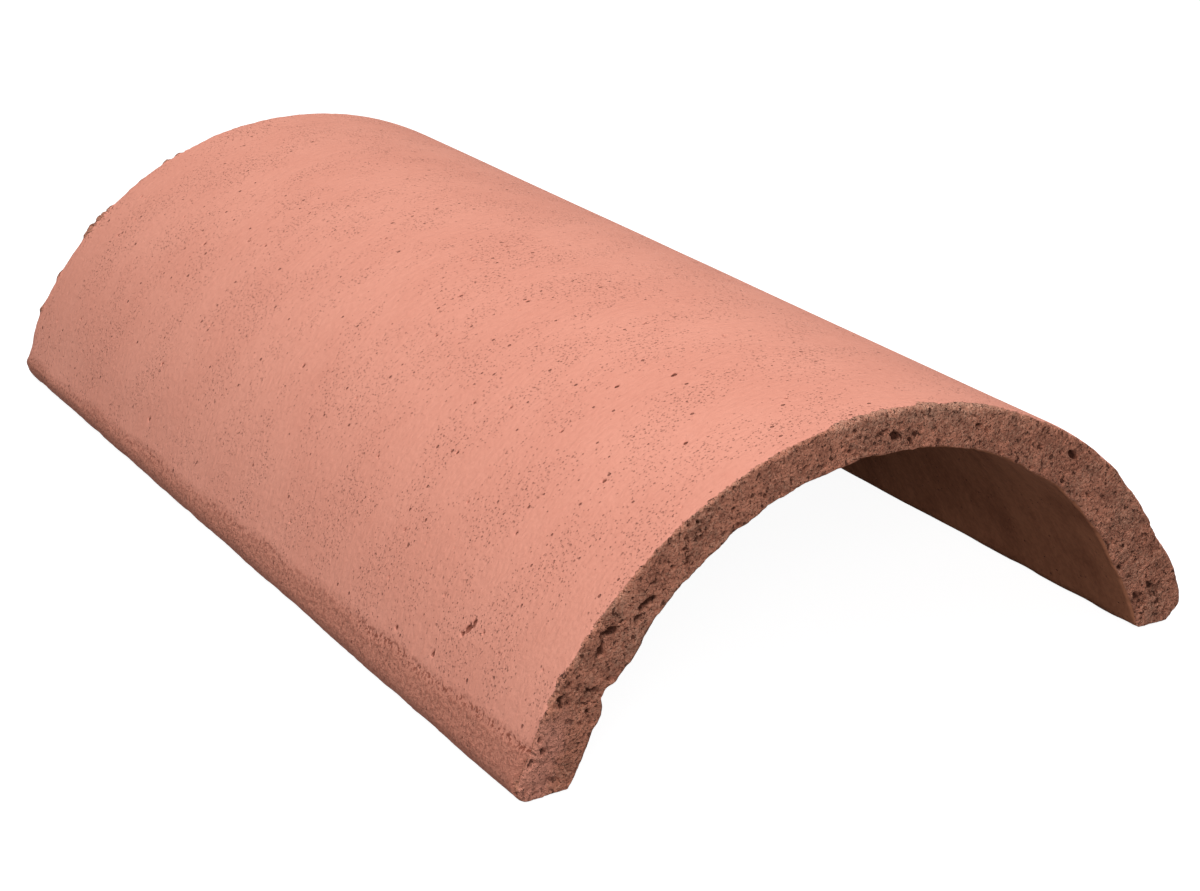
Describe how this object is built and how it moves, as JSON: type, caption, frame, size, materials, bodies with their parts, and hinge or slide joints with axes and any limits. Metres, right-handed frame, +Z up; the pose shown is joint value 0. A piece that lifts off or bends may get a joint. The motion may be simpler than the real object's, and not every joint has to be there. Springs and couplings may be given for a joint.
{
  "type": "half round ridge tile",
  "caption": "Half round ridge tile of coated concrete: a shallow open-ended arch with rounded feet, laid along a roof's ridge over the top edges of its slopes.",
  "frame": {"origin": "on the floor that the feet rest on, below the crown, at half the tile's length", "axes": "+X along the ridge towards end_front, +Y across it towards foot_right, +Z up through the crown"},
  "size_m": [0.45, 0.268, 0.1035],
  "materials": {
    "coated_concrete": "matte"
  },
  "bodies": {
    "root": {"ridge_tile": "coated_concrete"}
  },
  "joints": []
}
